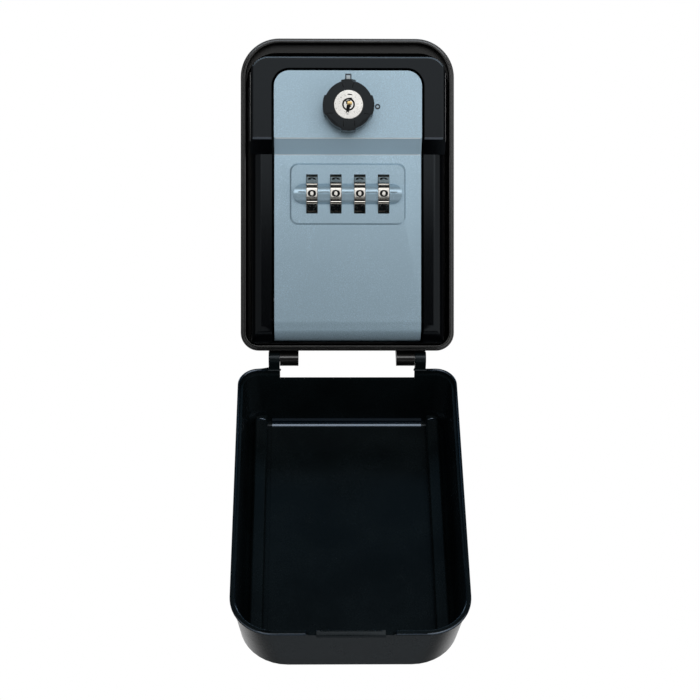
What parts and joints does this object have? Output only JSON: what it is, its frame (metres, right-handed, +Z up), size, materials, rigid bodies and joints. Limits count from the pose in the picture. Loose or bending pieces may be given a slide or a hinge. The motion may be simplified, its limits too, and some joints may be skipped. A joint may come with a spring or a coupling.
{
  "type": "wall key safe",
  "caption": "Wall key safe: a black tray with a cast body, a bottom-hinged grey door with number dials and a keyed knob, and a deep hinged weather cover.",
  "frame": {"origin": "centre of the wall screws on the tray's back face", "axes": "+X to the right seen from the front, +Y into the wall, +Z up"},
  "size_m": [0.1094, 0.1376, 0.3012],
  "materials": {
    "tray": "moulded black",
    "casting": "black satin paint",
    "door": "grey metallic satin paint",
    "cover": "moulded black",
    "grip": "moulded black",
    "bright": "polished",
    "dials": "polished, with black digits",
    "core": "brass",
    "steel": "plated",
    "lever": "moulded red",
    "pocket": "moulded dark grey",
    "spacer": "moulded natural"
  },
  "bodies": {
    "wall_unit": {"base_tray": "tray", "safe_body": "casting", "body_screws": "steel", "cover_hinge_pins": "steel", "door_hinge_pins": "steel"},
    "cover": {"weather_cover": "cover"},
    "door": {"door": "door", "lock_plate": "steel", "lock_plate_screws": "steel", "dial_tube": "steel", "dial_spacers": "spacer", "dial_cover": "pocket", "dial_cover_screws": "steel", "dial_clicker": "steel"},
    "knob": {"knob": "grip", "lock_cylinder": "bright", "cam_disc": "steel", "spindle_clip": "steel"},
    "key_plug": {"key_plug": "core", "plug_tail": "steel"},
    "left_bolt": {"bolt_left": "steel", "fence_shaft": "core"},
    "right_bolt": {"bolt_right": "steel"},
    "code_lever": {"code_lever": "lever"},
    "dial_1": {"dial_1": "dials"},
    "dial_2": {"dial_2": "dials"},
    "dial_3": {"dial_3": "dials"},
    "dial_4": {"dial_4": "dials"}
  },
  "joints": [
    {"name": "cover_hinge", "type": "hinge", "parent": "wall_unit", "child": "cover", "pos_m": [0, -0.0316, -0.082], "axis": [1, 0, 0], "range_deg": [-137.5, 0]},
    {"name": "door_hinge", "type": "hinge", "parent": "wall_unit", "child": "door", "pos_m": [0, -0.036, -0.06335], "axis": [1, 0, 0], "range_deg": [0, 90]},
    {"name": "knob_turn", "type": "hinge", "parent": "door", "child": "knob", "pos_m": [0, -0.054, 0.0408], "axis": [0, 1, 0], "range_deg": [0, 90]},
    {"name": "key_turn", "type": "hinge", "parent": "knob", "child": "key_plug", "pos_m": [0, -0.062, 0.0408], "axis": [0, 1, 0], "range_deg": [0, 90]},
    {"name": "left_bolt_slide", "type": "slide", "parent": "door", "child": "left_bolt", "axis": [-1, 0, 0], "range_m": [0, 0.005]},
    {"name": "right_bolt_slide", "type": "slide", "parent": "door", "child": "right_bolt", "axis": [1, 0, 0], "range_m": [0, 0.005]},
    {"name": "code_lever_slide", "type": "slide", "parent": "door", "child": "code_lever", "axis": [1, 0, 0], "range_m": [0, 0.005]},
    {"name": "dial_1_spin", "type": "hinge", "parent": "door", "child": "dial_1", "pos_m": [-0.0177, -0.039, -0.0006], "axis": [1, 0, 0], "continuous": true},
    {"name": "dial_2_spin", "type": "hinge", "parent": "door", "child": "dial_2", "pos_m": [-0.0059, -0.039, -0.0006], "axis": [1, 0, 0], "continuous": true},
    {"name": "dial_3_spin", "type": "hinge", "parent": "door", "child": "dial_3", "pos_m": [0.0059, -0.039, -0.0006], "axis": [1, 0, 0], "continuous": true},
    {"name": "dial_4_spin", "type": "hinge", "parent": "door", "child": "dial_4", "pos_m": [0.0177, -0.039, -0.0006], "axis": [1, 0, 0], "continuous": true}
  ],
  "couplings": [
    {"joint": "left_bolt_slide", "follows": "knob_turn", "m_per_rad": 0.0031831},
    {"joint": "right_bolt_slide", "follows": "knob_turn", "m_per_rad": 0.0031831}
  ]
}
